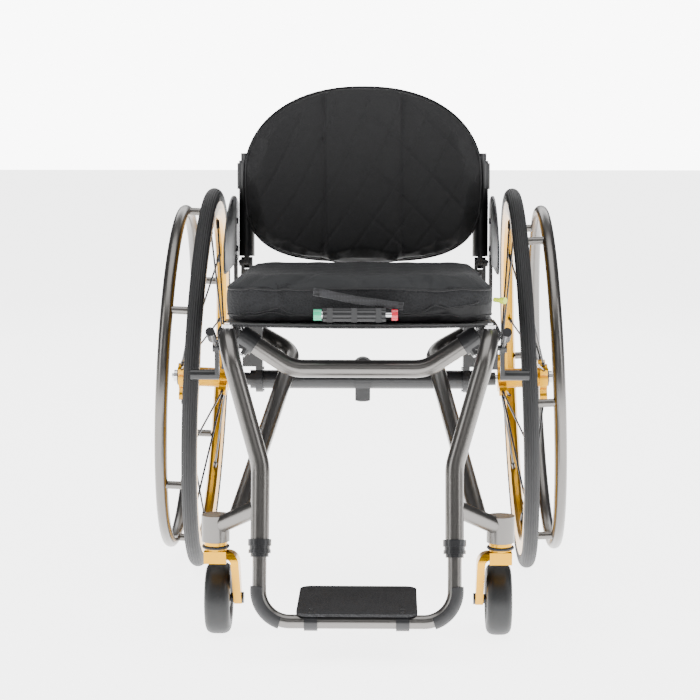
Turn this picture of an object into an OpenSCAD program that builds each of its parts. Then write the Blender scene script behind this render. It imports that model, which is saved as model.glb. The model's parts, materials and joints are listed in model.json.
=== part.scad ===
// Rigid-frame manual wheelchair with a fold-down shell back and an air-cell cushion.
// X points to the user's left, -Y is the way the chair faces, +Z is up.
// The origin is on the floor under the middle of the chair's bounding box.

/* [Drive wheels] */
// Outer radius of the drive wheel tyre
wheel_r = 304.5; // [295:0.5:310]
// Radius of the tyre's round section
tyre_r = 11.7; // [10:0.1:12.5]
// Camber of each drive wheel in degrees
camber = 2.4; // [1:0.1:3]
// Distance from the chair's middle to the wheel plane at hub height
track_half = 250.5; // [249:0.5:256]
// Radius of the hand rim's centre line
handrim_r = 266; // [262:1:268]
// Radius of the hand rim's tube
handrim_tube_r = 9.5; // [8:0.5:10]
// Distance from the wheel plane out to the hand rim
handrim_offset = 45; // [40:1:50]
// Number of lobes on each hub flange, with two spokes each
hub_lobes = 3; // [3:1:4]

/* [Casters] */
// Outer radius of the caster tyre
caster_r = 50.8; // [48:0.2:51]
// Width of the caster tyre
caster_w = 36; // [30:1:38]
// Distance from the chair's middle to the caster stems
caster_x = 198; // [195:0.5:200]
// Distance from the drive axle forward to the caster stems
stem_ahead = 478; // [475:1:485]
// Distance the caster axle trails behind its stem
caster_trail = 45; // [40:1:46]

/* [Frame] */
// Outer radius of the main titanium tubes
tube_r = 12.7; // [12:0.1:13]
// Wall thickness of the titanium tubes
wall = 2; // [1:0.1:2.5]
// Distance from the chair's middle to the seat rails
rail_x = 183; // [181:0.5:184]
// Distance from the chair's middle to the lower front legs
leg_x = 132; // [130:0.5:134]
// Lean of the front legs from the vertical in degrees
leg_lean = 15; // [12:0.5:16]
// Outer radius of the axle tube
axle_tube_r = 15; // [14.5:0.1:16]

/* [Seat and back] */
// Half the width of the seat cushion
cushion_half_w = 203; // [198:0.5:204]
// Length of the seat cushion from front to rear
cushion_l = 406; // [390:1:410]
// Thickness of the seat cushion
cushion_t = 58; // [40:1:60]
// Distance from the chair's middle to the back canes
cane_x = 190; // [189:0.5:190.5]
// Backward lean of the canes in degrees
back_lean = 3; // [1:0.5:4]
// Height of the back hinge above the floor
hinge_z = 484; // [483:0.5:486]

/* [Footrest] */
// Outer radius of the footrest tube
foot_tube_r = 9.5; // [9:0.1:9.5]
// Height of the footrest tube's centre above the floor
foot_z = 55; // [50:1:60]
// Width of the footplate
plate_w = 164; // [140:1:170]
// Depth of the footplate
plate_d = 156; // [130:1:158]

/* [Hidden] */
$fn = 96;
eps = 0.01;

titanium = "#8f8c87";
gold = "#e3a21a";
black = "#1c1d20";
rubber = "#26282a";
cloth = "#202226";
steel = "#b8babd";

// Places worked out from the driving sizes; y is measured back from the drive axle
plate_front = -588.5;
axle_y = -(plate_front + wheel_r) / 2;
hub_z = (wheel_r - tyre_r) * cos(camber) + tyre_r;
stem_y = -stem_ahead;
caster_y = stem_y + caster_trail;
foot_y = plate_front + foot_tube_r + 2;
leg_slope = tan(leg_lean);
function leg_y(z) = foot_y + (z - foot_z) * leg_slope;
leg_dir = [0, sin(leg_lean), cos(leg_lean)];
leg_end_z = 156;
knee_z = 258;

// Seat rail line, a little higher at the front
rail_rear = [rail_x, 95, 412];
rail_front = [rail_x, -474, 427];
seat_tilt = atan((rail_front.z - rail_rear.z) / (rail_rear.y - rail_front.y));
function rail_z(y) = rail_rear.z + (rail_rear.y - y) * tan(seat_tilt);
knee = [leg_x, leg_y(knee_z), knee_z];
leg_end = [leg_x, leg_y(leg_end_z), leg_end_z];
leg_bore_r = foot_tube_r + 0.05;

// Lower tube of each side frame, from the rear stub round to the caster arm
stub_z = 379;
arm_leg = [leg_x, leg_y(204), 204];
arm_housing = [caster_x, stem_y, 163];
lower_path = [[rail_x, 95, stub_z], [rail_x, 48, stub_z], [112, 6, 345], (arm_leg + arm_housing) / 2];
housing_r = 19.5;
housing_z = [143.6, 180.5];
bearing_r = 14;

// Cross tube between the seat rails
cross_y = -395;
cross_path = [[-158, cross_y, 415], [-95, cross_y, 374], [95, cross_y, 374], [158, cross_y, 415]];

axle_tube_z = 301;
axle_tube_half = 172;
pin_r = 6.35;
pin_fit = 0.05;
tower_x = rail_x;

// Back, in its own upright frame with the hinge pin at [y, z] = [0, 0]
hinge_y = 62;
cane_top = 166;
cane_foot = 11;
pad_axis_y = -445;
shell_r = 441;
shell_t = 3;
pad_r = 510;
pad_centre_t = 27;

// Wheel lock pivot and shoe
lock_x = 206.5;
lock_pivot = [lock_x, -332, 396];
shoe_drop = 40;
shoe_r = 7.5;

function unit(v) = v / norm(v);

// ---- helpers ----

// Moves geometry from the drive axle's Y to the part's origin
module at_axle() {
    translate([0, axle_y, 0]) children();
}

// Left side as drawn, right side mirrored
module sided(side) {
    mirror([side < 0 ? 1 : 0, 0, 0]) children();
}

module both_sides() {
    for (side = [1, -1]) sided(side) children();
}

// Round bar from a to b
module rod(a, b, r) {
    v = b - a;
    h = norm(v);
    translate(a) rotate([0, acos(v.z / h), atan2(v.y, v.x)]) cylinder(h = h, r = r);
}

// Part of a torus that turns direction d1 into d2 round the corner p
module bend_arc(p, d1, d2, bend, r) {
    turn = acos(d1 * d2);
    inward = unit(d2 - d1 * (d1 * d2));
    c = p - d1 * bend * tan(turn / 2) + inward * bend;
    z = cross(-inward, d1);
    multmatrix([[-inward.x, d1.x, z.x, c.x], [-inward.y, d1.y, z.y, c.y], [-inward.z, d1.z, z.z, c.z]])
        rotate_extrude(angle = turn) translate([bend, 0]) circle(r);
}

// Distance from a corner to the start of its bend
function setback(path, bends, i) = i <= 0 || i >= len(path) - 1 ? 0
    : bends[i] * tan(acos(unit(path[i] - path[i - 1]) * unit(path[i + 1] - path[i])) / 2);

// Solid bar along a path with a bend at each inner corner; the straights lap into the bends
module bent_bar(path, bends, r, extend = 0) {
    lap = 1;
    last = len(path) - 1;
    for (i = [0 : last - 1]) {
        d = unit(path[i + 1] - path[i]);
        a = path[i] + d * (i == 0 ? -extend : setback(path, bends, i) - lap);
        b = path[i + 1] - d * (i + 1 == last ? -extend : setback(path, bends, i + 1) - lap);
        rod(a, b, r);
    }
    for (i = [1 : last - 1])
        bend_arc(path[i], unit(path[i] - path[i - 1]), unit(path[i + 1] - path[i]), bends[i], r + 0.04);
}

// Revolved shape about the X axis, from a profile of [radius, x]
module revolve_x() {
    rotate([0, 90, 0]) rotate_extrude() children();
}

// Plate in the YZ plane from x to x + t
module plate_x(x, t) {
    translate([x, 0, 0]) rotate([90, 0, 90]) linear_extrude(t) children();
}

// Rectangle from corner a to corner b with rounded corners
module rounded_rect(a, b, r) {
    translate([a.x + r, a.y]) square([b.x - a.x - 2 * r, b.y - a.y]);
    translate([a.x, a.y + r]) square([b.x - a.x, b.y - a.y - 2 * r]);
    for (x = [a.x + r, b.x - r], y = [a.y + r, b.y - r]) translate([x, y]) circle(r);
}

// The wheel's own frame: X runs outward along the cambered axle from the hub's middle
module at_wheel(side) {
    at_axle() sided(side) translate([track_half, 0, hub_z]) rotate([0, -camber, 0]) children();
}

// The back's own frame, upright along the canes with the hinge pin at its origin
module at_back() {
    at_axle() translate([0, hinge_y, hinge_z]) rotate([-back_lean, 0, 0]) children();
}

// The seat's own frame: the rails' centre lines lie in z = 0 and y runs along them
module seat_tilted() {
    translate([0, 0, rail_z(0)]) rotate([-seat_tilt, 0, 0]) children();
}

module at_seat() {
    at_axle() seat_tilted() children();
}

// Space over the rails, kept free for the sling and the cushion
module above_rails() {
    seat_tilted() translate([-300, -460, tube_r]) cube([600, 502, 80]);
}

// ---- frame ----

rail_path = [rail_rear, rail_front, knee, leg_end];
rail_bends = [0, 62, 70, 0];
lower_bends = [0, 38, 45, 0];

lower_bore = [lower_path[0], lower_path[1], lower_path[2],
    lower_path[3] + 36 * unit(lower_path[2] - lower_path[3])];

module side_frame(side) {
    color(titanium) at_axle() sided(side) difference() {
        union() {
            bent_bar(rail_path, rail_bends, tube_r);
            bent_bar(lower_path, lower_bends, tube_r);
            rod(arm_leg, arm_housing, tube_r - 0.7);
            translate([caster_x, stem_y, housing_z[0]])
                cylinder(h = housing_z[1] - housing_z[0], r = housing_r);
            rod([rail_x, 78, stub_z], [rail_x, 78, rail_z(78)], 8);
        }
        bent_bar(rail_path, rail_bends, tube_r - wall, 1);
        bent_bar(lower_bore, lower_bends, tube_r - wall, 1);
        translate([caster_x, stem_y, housing_z[0] - 1]) cylinder(h = 33, r = bearing_r);
    }
}

// Plug in the rear end of each seat rail
module rail_caps() {
    back = [0, cos(seat_tilt), -sin(seat_tilt)];
    color(black) at_axle() both_sides() {
        rod(rail_rear - back * 15, rail_rear, tube_r - wall);
        rod(rail_rear, rail_rear + back * 3, tube_r);
    }
}

module cross_tube() {
    color(titanium) at_axle() difference() {
        bent_bar(cross_path, [0, 55, 55, 0], tube_r);
        bent_bar(cross_path, [0, 55, 55, 0], tube_r - wall, 1);
    }
}

// Two-part clamp that holds each end of the cross tube to a seat rail
clamp_along = unit(cross_path[3] - cross_path[2]);
clamp_down = [clamp_along.z, 0, -clamp_along.x];
clamp_boss = cross_path[3] - clamp_along * 6;

module cross_tube_clamps() {
    tube_end = cross_path[3];
    color(black) at_axle() both_sides() difference() {
        union() {
            rod(tube_end - clamp_along * 14, tube_end + clamp_along * 13, tube_r + 3.3);
            for (y = [-13, 5]) translate([0, cross_y + y, 0])
                rod([rail_x, 0, rail_z(cross_y)], [rail_x, 8, rail_z(cross_y + 8)], tube_r + 4);
            translate([151, cross_y - 13, 404]) cube([18, 26, 18]);
            for (y = [-8, 8])
                rod(clamp_boss + [0, y, 0], clamp_boss + clamp_down * 19 + [0, y, 0], 4.5);
        }
        rod([rail_x, cross_y - 40, rail_z(cross_y - 40)], [rail_x, cross_y + 40, rail_z(cross_y + 40)],
            tube_r);
        rod(tube_end - clamp_along * 30, tube_end, tube_r);
        above_rails();
    }
}

module axle_tube() {
    color(black) at_axle() difference() {
        rod([-axle_tube_half, 0, axle_tube_z], [axle_tube_half, 0, axle_tube_z], axle_tube_r);
        rod([-200, 0, axle_tube_z], [200, 0, axle_tube_z], axle_tube_r - wall);
    }
}

// Upright that hangs the axle tube from each seat rail
module axle_clamps() {
    ring_w = 22;
    color(black) at_axle() both_sides() difference() {
        union() {
            rod([tower_x - ring_w, 0, axle_tube_z], [tower_x - 11, 0, axle_tube_z], axle_tube_r + 6);
            translate([tower_x - ring_w, -13, axle_tube_z]) cube([ring_w - 11, 26, 60]);
            translate([tower_x - 22, -12, axle_tube_z + 22]) cube([32, 24, rail_z(0) - axle_tube_z - 30]);
            rod([tower_x, -14, rail_z(-14)], [tower_x, 14, rail_z(14)], tube_r + 5);
        }
        above_rails();
        rod([tower_x, -40, rail_z(-40)], [tower_x, 40, rail_z(40)], tube_r);
        rod([0, 0, axle_tube_z], [axle_tube_half + 60, 0, axle_tube_z], axle_tube_r);
    }
}

// Lug in the middle of the axle tube
module axle_tube_bracket() {
    color(black) at_axle() difference() {
        intersection() {
            plate_x(-12, 24) {
                translate([0, axle_tube_z]) circle(axle_tube_r + 4);
                rounded_rect([-13, 266], [13, 338], 4);
            }
            translate([0, 40, 0]) rotate([90, 0, 0]) linear_extrude(80) {
                intersection() {
                    translate([0, 294]) circle(28);
                    translate([-12, 266]) square([24, 40]);
                }
                intersection() {
                    translate([0, 321]) circle(16);
                    translate([-12, 305]) square([24, 32]);
                }
            }
        }
        rod([-20, 0, axle_tube_z], [20, 0, axle_tube_z], axle_tube_r);
    }
}

// Receiver in each end of the axle tube, bored at the camber angle for the axle pin
module axle_sleeves() {
    color(black) at_axle() both_sides() difference() {
        union() {
            rod([118, 0, axle_tube_z], [axle_tube_half, 0, axle_tube_z], axle_tube_r - wall);
            rod([axle_tube_half, 0, axle_tube_z], [axle_tube_half + 9, 0, axle_tube_z], axle_tube_r);
            translate([track_half, 0, hub_z]) rotate([0, -camber, 0])
                rod([-74, 0, 0], [-37, 0, 0], 10.5);
        }
        translate([track_half, 0, hub_z]) rotate([0, -camber, 0])
            rod([-90, 0, 0], [0, 0, 0], pin_r);
    }
}

module seat_sling() {
    color(cloth) at_seat() translate([-rail_x - 3, -424, tube_r]) cube([2 * rail_x + 6, 464, 2.5]);
}

// Bolt heads of the cross tube clamps and the axle clamps
module frame_bolts() {
    head = clamp_boss + clamp_down * 19;
    color(steel) at_axle() both_sides() {
        for (y = [-8, 8]) rod(head + [0, y, 0], head + clamp_down * 3 + [0, y, 0], 3.6);
        for (z = [-18.3, 18.3])
            rod([tower_x - 24.5, 0, axle_tube_z + z], [tower_x - 22, 0, axle_tube_z + z], 2.4);
    }
}

// Polished stud on top of each front corner, which holds the sling's front loop
module rail_studs() {
    color(steel) at_axle() both_sides() difference() {
        seat_tilted() translate([rail_x, -434, tube_r - 2]) {
            cylinder(h = 4.5, r = 8);
            cylinder(h = 7, r = 4);
        }
        bent_bar(rail_path, rail_bends, tube_r);
    }
}

// Guard plate outside each cane, round at the top to follow the wheel, with its plug-in post
module side_guard(side) {
    guard_x = 205.5;
    guard_t = 3;
    color(black) at_axle() sided(side) {
        plate_x(guard_x, guard_t) intersection() {
            translate([0, hub_z]) circle(292, $fn = 180);
            rounded_rect([-185, 487], [100, 620], 14);
        }
        translate([guard_x - 1.9, 20, 426]) cube([guard_t + 1.9, 26, 72]);
        for (z = [507, 552])
            rod([guard_x - 1.7, hinge_y + (z - hinge_z) * tan(back_lean), z],
                [guard_x, hinge_y + (z - hinge_z) * tan(back_lean), z], 5);
    }
}

// Rail clamp and clevis that carries each cane, with its pin and the guard's socket
module back_hinges() {
    ear_t = 5;
    gap = 4.2;
    color(black) at_axle() both_sides() difference() {
        union() {
            rod([rail_x, 46, rail_z(46)], [rail_x, 69.5, rail_z(69.5)], tube_r + 4.5);
            translate([cane_x - gap - ear_t, 50, rail_z(62) + 10])
                cube([2 * (gap + ear_t), 24, 50]);
            for (x = [cane_x - gap - ear_t, cane_x + gap]) plate_x(x, ear_t) {
                translate([hinge_y, hinge_z]) circle(9.5);
                translate([hinge_y - 9.5, hinge_z - 20]) square([19, 20]);
            }
            rod([cane_x - gap - ear_t, hinge_y, hinge_z], [cane_x + gap + ear_t + 3, hinge_y, hinge_z], 3);
            rod([cane_x + gap + ear_t, hinge_y, hinge_z], [cane_x + gap + ear_t + 3, hinge_y, hinge_z], 5.5);
            translate([rail_x + 5, 16, 426]) cube([15.4, 36, 20]);
        }
        rod([rail_x, 5, rail_z(5)], [rail_x, 100, rail_z(100)], tube_r);
    }
}

// Height clamp at the foot of each front leg
module leg_collars() {
    color(black) at_axle() both_sides() difference() {
        for (ring = [[-3, 9, 15.8], [-9, 6, 14], [-13, 5, 15.2], [-18, 6, 12.3]])
            rod(leg_end + leg_dir * ring[0], leg_end + leg_dir * (ring[0] + ring[1]), ring[2]);
        rod(leg_end, leg_end + leg_dir * 40, tube_r);
        rod(leg_end - leg_dir * 40, leg_end + leg_dir, leg_bore_r);
    }
}

module caster_bearings() {
    color(steel) at_axle() both_sides() for (z = [146, 165]) translate([caster_x, stem_y, z])
        difference() {
            cylinder(h = 8, r = bearing_r);
            translate([0, 0, -1]) cylinder(h = 10, r = 6.05);
        }
}

// Quick-release axle pins, each held in its axle sleeve
module axle_pins() {
    color(steel) for (side = [1, -1]) at_wheel(side) difference() {
        union() {
            rod([-86, 0, 0], [51, 0, 0], pin_r);
            rod([49, 0, 0], [54, 0, 0], 9.5);
        }
        rod([30, 0, 0], [60, 0, 0], 4.05);
    }
}

module axle_button(side) {
    color(steel) at_wheel(side) rod([36, 0, 0], [57.5, 0, 0], 4);
}

// Clamp under each seat rail that carries the wheel lock
module lock_mounts() {
    color(black) at_axle() both_sides() difference() {
        union() {
            rod([rail_x, -352, rail_z(-352)], [rail_x, -318, rail_z(-318)], tube_r + 4);
            translate([rail_x - 9, -346, 366]) cube([25, 28, 48]);
            rod([rail_x, lock_pivot.y, lock_pivot.z], [lock_x + 6, lock_pivot.y, lock_pivot.z], 4);
            rod([lock_x + 3.2, lock_pivot.y, lock_pivot.z], [lock_x + 6, lock_pivot.y, lock_pivot.z], 7);
        }
        above_rails();
        rod([rail_x, -380, rail_z(-380)], [rail_x, -290, rail_z(-290)], tube_r);
    }
}

// Lever with the shoe bar that swings back against the tyre
module lock_lever(side) {
    shoe = [lock_x, lock_pivot.y, lock_pivot.z - shoe_drop];
    grip = [lock_x, -432, 428];
    color(black) at_axle() sided(side) difference() {
        union() {
            plate_x(lock_x - 3, 6) {
                translate([lock_pivot.y, lock_pivot.z]) circle(11);
                translate([shoe.y - 7.5, shoe.z]) square([15, shoe_drop]);
                translate([shoe.y, shoe.z]) circle(shoe_r);
            }
            rod([lock_x - 3, shoe.y, shoe.z], [245, shoe.y, shoe.z], shoe_r);
            rod([lock_x, lock_pivot.y - 8, lock_pivot.z + 3], grip, 3);
            rod(grip + [0, 26, -9.6], grip + [0, -12, 4.4], 6.5);
        }
        rod([rail_x, lock_pivot.y, lock_pivot.z], [lock_x + 20, lock_pivot.y, lock_pivot.z], 4.05);
    }
}

// ---- seat ----

cushion_corner = 45;

module seat_cushion() {
    color(cloth) at_seat() translate([0, 0, tube_r + 2.8]) linear_extrude(cushion_t)
        rounded_rect([-cushion_half_w, -421], [cushion_half_w, -421 + cushion_l], cushion_corner);
}

valve_y = -433;
valve_z = 455;
valve_rod_r = 3.5;
valve_body_x = [-50, 38];

// Ribbed slide-valve body that lies across the cushion's front
module valve_body() {
    color(black) at_axle() difference() {
        union() {
            for (pipe = [[-5.5, 4.2], [0, 5.5], [5.5, 4.2]])
                rod([valve_body_x[0], valve_y, valve_z + pipe[0]],
                    [valve_body_x[1], valve_y, valve_z + pipe[0]], pipe[1]);
            for (x = [valve_body_x[0] + 6, -10, valve_body_x[1] - 14])
                translate([x, valve_y - 5.5, valve_z - 10]) cube([8, 16.5, 20]);
        }
        rod([-60, valve_y, valve_z], [60, valve_y, valve_z], valve_rod_r + 0.05);
    }
}

module valve_rod() {
    color(steel) at_axle() {
        rod([-60, valve_y, valve_z], [52, valve_y, valve_z], valve_rod_r);
        rod([-51.5, valve_y, valve_z], [-50.3, valve_y, valve_z], 5.5);
    }
}

// Push knob on the end of the valve rod that opens the valve
module valve_knob_green() {
    color("#35b58b") at_axle() difference() {
        rod([-62.7, valve_y, valve_z], [-51.5, valve_y, valve_z], 8);
        rod([-60, valve_y, valve_z], [-50, valve_y, valve_z], valve_rod_r);
    }
}

// Push knob on the end of the valve rod that shuts the valve
module valve_knob_red() {
    color("#c2203a") at_axle() difference() {
        rod([46, valve_y, valve_z], [54.6, valve_y, valve_z], 8);
        rod([45, valve_y, valve_z], [52, valve_y, valve_z], valve_rod_r);
    }
}

// Screw-cap inflation valve with its short stem at the cushion's left front corner
module inflation_valve() {
    out = [unit([1, -1]).x, unit([1, -1]).y, 0];
    seat = [cushion_half_w - cushion_corner, -421 + cushion_corner, 474] + out * (cushion_corner + 0.3);
    color("#b9c62e") at_axle() {
        rod(seat, seat + out * 12, 3.2);
        rod(seat + out * 12, seat + out * 20, 4.6);
    }
}

// ---- footrest ----

foot_top = foot_y + (leg_end_z + 50 - foot_z) * leg_slope;
foot_path = [[leg_x, foot_top, leg_end_z + 50], [leg_x, foot_y, foot_z],
    [-leg_x, foot_y, foot_z], [-leg_x, foot_top, leg_end_z + 50]];
foot_bend = 42;

module footrest_tube() {
    color(titanium) at_axle() difference() {
        bent_bar(foot_path, [0, foot_bend, foot_bend, 0], foot_tube_r);
        bent_bar(foot_path, [0, foot_bend, foot_bend, 0], foot_tube_r - wall, 1);
    }
}

// Rubber sleeve on the outside of each footrest bend, open towards the inside
module footrest_bumpers() {
    down = -leg_dir;
    centre = foot_path[1] - down * foot_bend - [foot_bend, 0, 0];
    z = cross([1, 0, 0], down);
    color(rubber) at_axle() both_sides()
        multmatrix([[1, down.x, z.x, centre.x], [0, down.y, z.y, centre.y], [0, down.z, z.z, centre.z]])
            rotate([0, 0, -6]) rotate_extrude(angle = 78) difference() {
                translate([foot_bend, 0]) circle(foot_tube_r + 3);
                translate([foot_bend, 0]) circle(foot_tube_r + 0.3);
                translate([0, -20]) square([foot_bend - 4, 40]);
            }
}

module footplate() {
    plate_t = 4;
    color(black) at_axle() translate([0, 0, foot_z + foot_tube_r]) difference() {
        linear_extrude(plate_t)
            rounded_rect([-plate_w / 2, plate_front], [plate_w / 2, plate_front + plate_d], 16);
        for (x = [-62, 62], y = [5, 24])
            translate([x, plate_front + y, -1]) cylinder(h = plate_t + 2, r = 2.1);
    }
}

// Saddle under each side of the footplate, with its two screws
module footplate_clamps() {
    color(black) at_axle() for (x = [-62, 62]) difference() {
        union() {
            difference() {
                union() {
                    rod([x - 9, foot_y, foot_z], [x + 9, foot_y, foot_z], foot_tube_r + 3);
                    translate([x - 9, foot_y, foot_z]) cube([18, 70, foot_tube_r]);
                }
                translate([x - 12, foot_y - 20, foot_z + foot_tube_r]) cube([24, 40, 10]);
            }
            for (y = [5, 24])
                translate([x, plate_front + y, foot_z + 5]) cylinder(h = foot_tube_r - 1, r = 2);
        }
        rod([x - 20, foot_y, foot_z], [x + 20, foot_y, foot_z], foot_tube_r);
        translate([x - 12, foot_y - 2.5, foot_z]) cube([24, 5, foot_tube_r + 5]);
    }
}

// ---- back ----

// Pair of canes, each with a blade that turns in its hinge and a stub in its top
module back_canes() {
    color(black) at_back() both_sides() difference() {
        union() {
            rod([cane_x, 0, cane_foot], [cane_x, 0, cane_top], tube_r);
            rod([cane_x, 0, cane_top], [cane_x, 0, cane_top + 12], 9.5);
            plate_x(cane_x - 4, 8) {
                circle(9);
                translate([-9, 0]) square([18, cane_foot]);
            }
        }
        rod([cane_x - 20, 0, 0], [cane_x + 20, 0, 0], 3.05);
    }
}

// Stiffening bar between the canes, behind the shell
module back_bar() {
    bar_z = 78;
    bar_y = 27;
    color(black) at_back() {
        rod([-cane_x, bar_y, bar_z], [cane_x, bar_y, bar_z], 8);
        both_sides() difference() {
            translate([cane_x - 9, 0, bar_z - 10]) cube([18, bar_y, 20]);
            rod([cane_x, 0, bar_z - 30], [cane_x, 0, bar_z + 30], tube_r);
        }
    }
}

// Front outline of the back: a full round arch on a squarer lower half
back_half_w = 198;
back_mid_z = 136;
back_top_h = 156;
back_foot_h = 140;

function super(v, power) = sign(v) * pow(abs(v), 2 / power);
function outline_point(a, inset) = a < 180
    ? [(back_half_w - inset) * super(cos(a), 2.2), back_mid_z + (back_top_h - inset) * super(sin(a), 2.2)]
    : [(back_half_w - inset) * super(cos(a), 3.2), back_mid_z + (back_foot_h - inset) * super(sin(a), 3.2)];

module back_outline(inset) {
    polygon([for (a = [0 : 3 : 357]) outline_point(a, inset)]);
}

// Upright round column of radius r whose front-to-back middle line meets y
module back_column(r, y) {
    translate([0, y - r, -20]) cylinder(h = 340, r = r, $fn = 180);
}

// Everything inside the back's front outline
module back_window(inset) {
    translate([0, 80, 0]) rotate([90, 0, 0]) linear_extrude(300) back_outline(inset);
}

shell_back = pad_axis_y + shell_r;
pad_back = shell_back - shell_t - 0.3;

module back_shell() {
    color(black) at_back() intersection() {
        difference() {
            back_column(shell_r, shell_back);
            back_column(shell_r - shell_t, shell_back - shell_t);
        }
        back_window(6);
    }
}

module back_pad() {
    color(cloth) at_back() intersection() {
        difference() {
            back_column(shell_r - shell_t - 0.3, pad_back);
            back_column(pad_r, pad_back - pad_centre_t);
        }
        back_window(0);
    }
}

// Clamp round each cane with the arm that bolts to the shell
// Clamps that hold the shell, flat on the outside to pass the side guards as the back folds
module back_brackets() {
    bracket_z = [120, 162];
    bracket_face = 205;
    color(black) at_back() both_sides() difference() {
        union() {
            rod([cane_x, 0, bracket_z[0]], [cane_x, 0, bracket_z[1]], tube_r + 3.5);
            translate([cane_x - 46, -42, bracket_z[0] + 4]) cube([40, 42, 34]);
        }
        rod([cane_x, 0, bracket_z[0] - 10], [cane_x, 0, bracket_z[1] + 10], tube_r);
        back_column(shell_r, shell_back);
        translate([bracket_face, -60, bracket_z[0] - 10]) cube([40, 120, 70]);
    }
}

// ---- drive wheels ----

bead_r = wheel_r - 20.5;

module tyre(side) {
    color(rubber) at_wheel(side) revolve_x() difference() {
        translate([wheel_r - tyre_r, 0]) circle(tyre_r);
        translate([bead_r - 20, -20]) square([20, 40]);
    }
}

// Rim section: a deep channel with a rounded-off spoke bed
module rim(side) {
    color(gold) at_wheel(side) revolve_x() difference() {
        polygon([[bead_r, -10], [bead_r, 10], [bead_r - 12, 10.5], [bead_r - 22, 7.5], [bead_r - 26, 3],
            [bead_r - 26, -3], [bead_r - 22, -7.5], [bead_r - 12, -10.5]]);
        translate([bead_r - 20, -6.5]) square([30, 13]);
    }
}

flange_in = -27;
flange_out = 39;
lobe_r = 30;
lobe_angle = 360 / hub_lobes;
spoke_lead = 15;

// Angle of a flange's lobe; the outer flange's lobes sit between the inner flange's
function lobe_at(k, outer) = 90 + lobe_angle * (k + (outer ? 0.5 : 0));
function on_circle(r, a, x) = [x, r * cos(a), r * sin(a)];

// Bonded fibre spokes with a black nipple at the hub and at the rim
module spokes(side) {
    rim_seat = bead_r - 26;
    color(black) at_wheel(side) for (outer = [false, true], k = [0 : hub_lobes - 1], lead = [-1, 1]) {
        a = lobe_at(k, outer);
        x = outer ? flange_out : flange_in;
        start = on_circle(lobe_r + 9.7, a + lead * 6, x);
        end = on_circle(rim_seat, a + lead * spoke_lead, outer ? 2 : -2);
        along = unit(end - start);
        rod(start, end - along * 0.3, 1.5);
        rod(start, start + along * 6, 2.6);
        rod(end - along * 14, end - along * 0.3, 2.9);
    }
}

// Lobed flange outline, turned to angle a
module flange_outline(a) {
    circle(21);
    for (k = [0 : hub_lobes - 1]) rotate(a + k * lobe_angle) {
        translate([0, -8.5]) square([lobe_r, 17]);
        translate([lobe_r, 0]) circle(9.5);
    }
}

// Hub shell with a lobed flange near each end, bored to turn on the axle pin
module hub(side) {
    color(gold) at_wheel(side) difference() {
        union() {
            rod([-34, 0, 0], [46.5, 0, 0], 15.5);
            plate_x(flange_in - 6, 12) flange_outline(lobe_at(0, false));
            plate_x(flange_out - 6, 12) flange_outline(lobe_at(0, true));
        }
        rod([-40, 0, 0], [50, 0, 0], pin_r + pin_fit);
    }
}

module handrim(side) {
    tabs = 6;
    color(titanium) at_wheel(side) {
        translate([handrim_offset, 0, 0]) revolve_x() translate([handrim_r, 0]) circle(handrim_tube_r);
        for (k = [0 : tabs - 1]) {
            a = (side > 0 ? 0 : 30) + k * 360 / tabs;
            rod(on_circle(handrim_r, a, 10.5), on_circle(handrim_r, a, handrim_offset), 6);
        }
    }
}

// ---- casters ----

module at_caster(side) {
    at_axle() sided(side) translate([caster_x, 0, 0]) children();
}

module caster_stem(side) {
    color(steel) at_caster(side) translate([0, stem_y, 131]) cylinder(h = 44, r = 6);
}

// Sealing ring round the fork's neck
module caster_seal(side) {
    color(rubber) at_caster(side) translate([0, stem_y, 135.7])
        rotate_extrude() translate([16.9, 0]) circle(2.2);
}

arm_in = -32.5;
arm_t = 11;

// Fork with one leg on the inner side; its shoulder is a round bend
module caster_fork(side) {
    color(gold) at_caster(side) difference() {
        union() {
            translate([0, stem_y, 131]) difference() {
                cylinder(h = 11.6, r = 16.2);
                translate([0, 0, 4.7]) rotate_extrude() translate([16.9, 0]) circle(2.2);
            }
            translate([-15.5, stem_y - 17, 114]) cube([31, 34, 17]);
            intersection() {
                translate([0, stem_y + 100, 0]) rotate([90, 0, 0]) linear_extrude(200) {
                    translate([arm_in, 40]) square([arm_t, 72]);
                    translate([arm_in + 19, 112]) intersection() {
                        difference() {
                            circle(19);
                            circle(8);
                        }
                        translate([-19, 0]) square([19, 19]);
                    }
                    translate([-15, 120]) square([8, 11]);
                }
                plate_x(-60, 80) hull($fn = 48) {
                    translate([stem_y, 117]) circle(14, $fn = 48);
                    translate([caster_y, caster_r]) circle(9, $fn = 48);
                }
            }
        }
        translate([0, stem_y, 110]) cylinder(h = 50, r = 6);
        rod([-60, caster_y, caster_r], [60, caster_y, caster_r], 5);
    }
}

module caster_axle(side) {
    color(black) at_caster(side) translate([0, caster_y, caster_r]) {
        rod([arm_in - 3, 0, 0], [16, 0, 0], 5);
        rod([arm_in - 3, 0, 0], [arm_in, 0, 0], 8);
        rod([arm_in + arm_t, 0, 0], [-17, 0, 0], 6.8);
        rod([16, 0, 0], [17.5, 0, 0], 8);
    }
}

tread_in = 27;

module caster_tyre(side) {
    color(rubber) at_caster(side) translate([0, caster_y, caster_r]) revolve_x() {
        rounded_rect([tread_in, -caster_w / 2], [caster_r, caster_w / 2], 11);
        translate([tread_in, -caster_w / 2 + 4]) square([12, caster_w - 8]);
    }
}

// Caster hub: rim, thin web and a bearing seat round the axle
module caster_hub(side) {
    color(black) at_caster(side) translate([0, caster_y, caster_r]) revolve_x() difference() {
        union() {
            translate([5.06, -15.5]) square([8, 31]);
            translate([12, -6]) square([10, 12]);
            translate([21, -13.5]) square([tread_in - 21, 27]);
        }
        translate([0, -20]) square([5.06, 40]);
    }
}

// ---- nodes ----

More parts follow.
